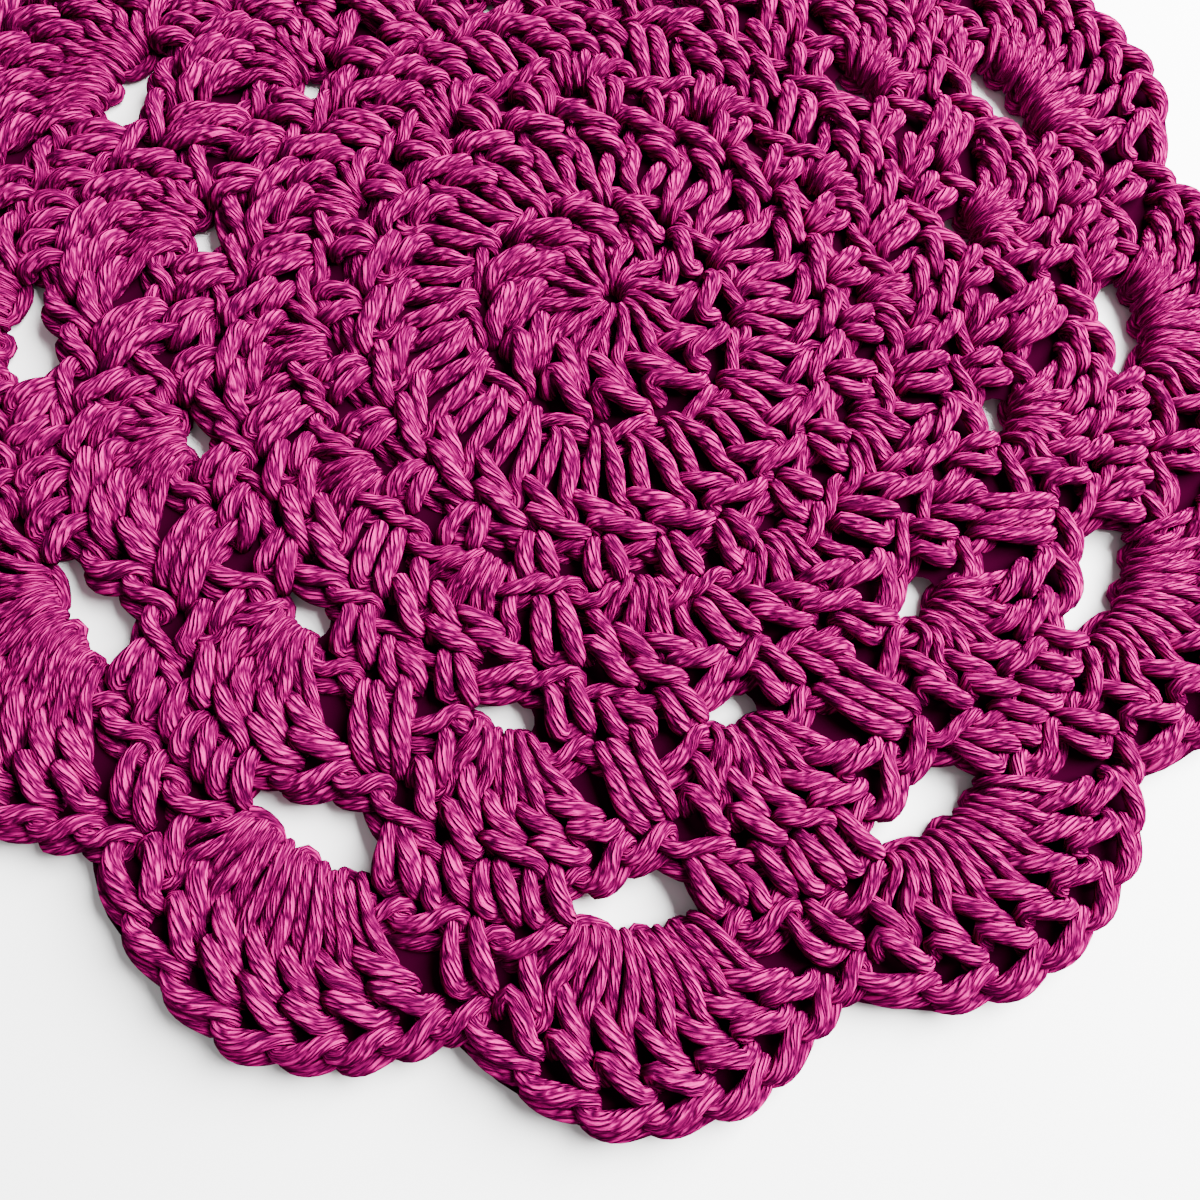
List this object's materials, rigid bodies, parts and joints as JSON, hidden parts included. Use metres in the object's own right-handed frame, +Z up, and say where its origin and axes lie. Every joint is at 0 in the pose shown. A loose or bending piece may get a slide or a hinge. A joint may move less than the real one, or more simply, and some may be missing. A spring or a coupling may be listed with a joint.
{
  "type": "lace doily",
  "caption": "Round crocheted cotton doily that lies flat: rounds of fans around a closed middle, a scalloped rim, and small pointed gaps under the scallops.",
  "frame": {"origin": "centre of the bounding box at the underside, where the doily lies on a table", "axes": "+Z up out of the right side of the work, +Y away from the viewer of the picture, +X to their right"},
  "size_m": [0.1383, 0.1392, 0.0046],
  "materials": {
    "cotton": "matt magenta cotton yarn"
  },
  "bodies": {
    "root": {"doily": "cotton"}
  },
  "joints": []
}
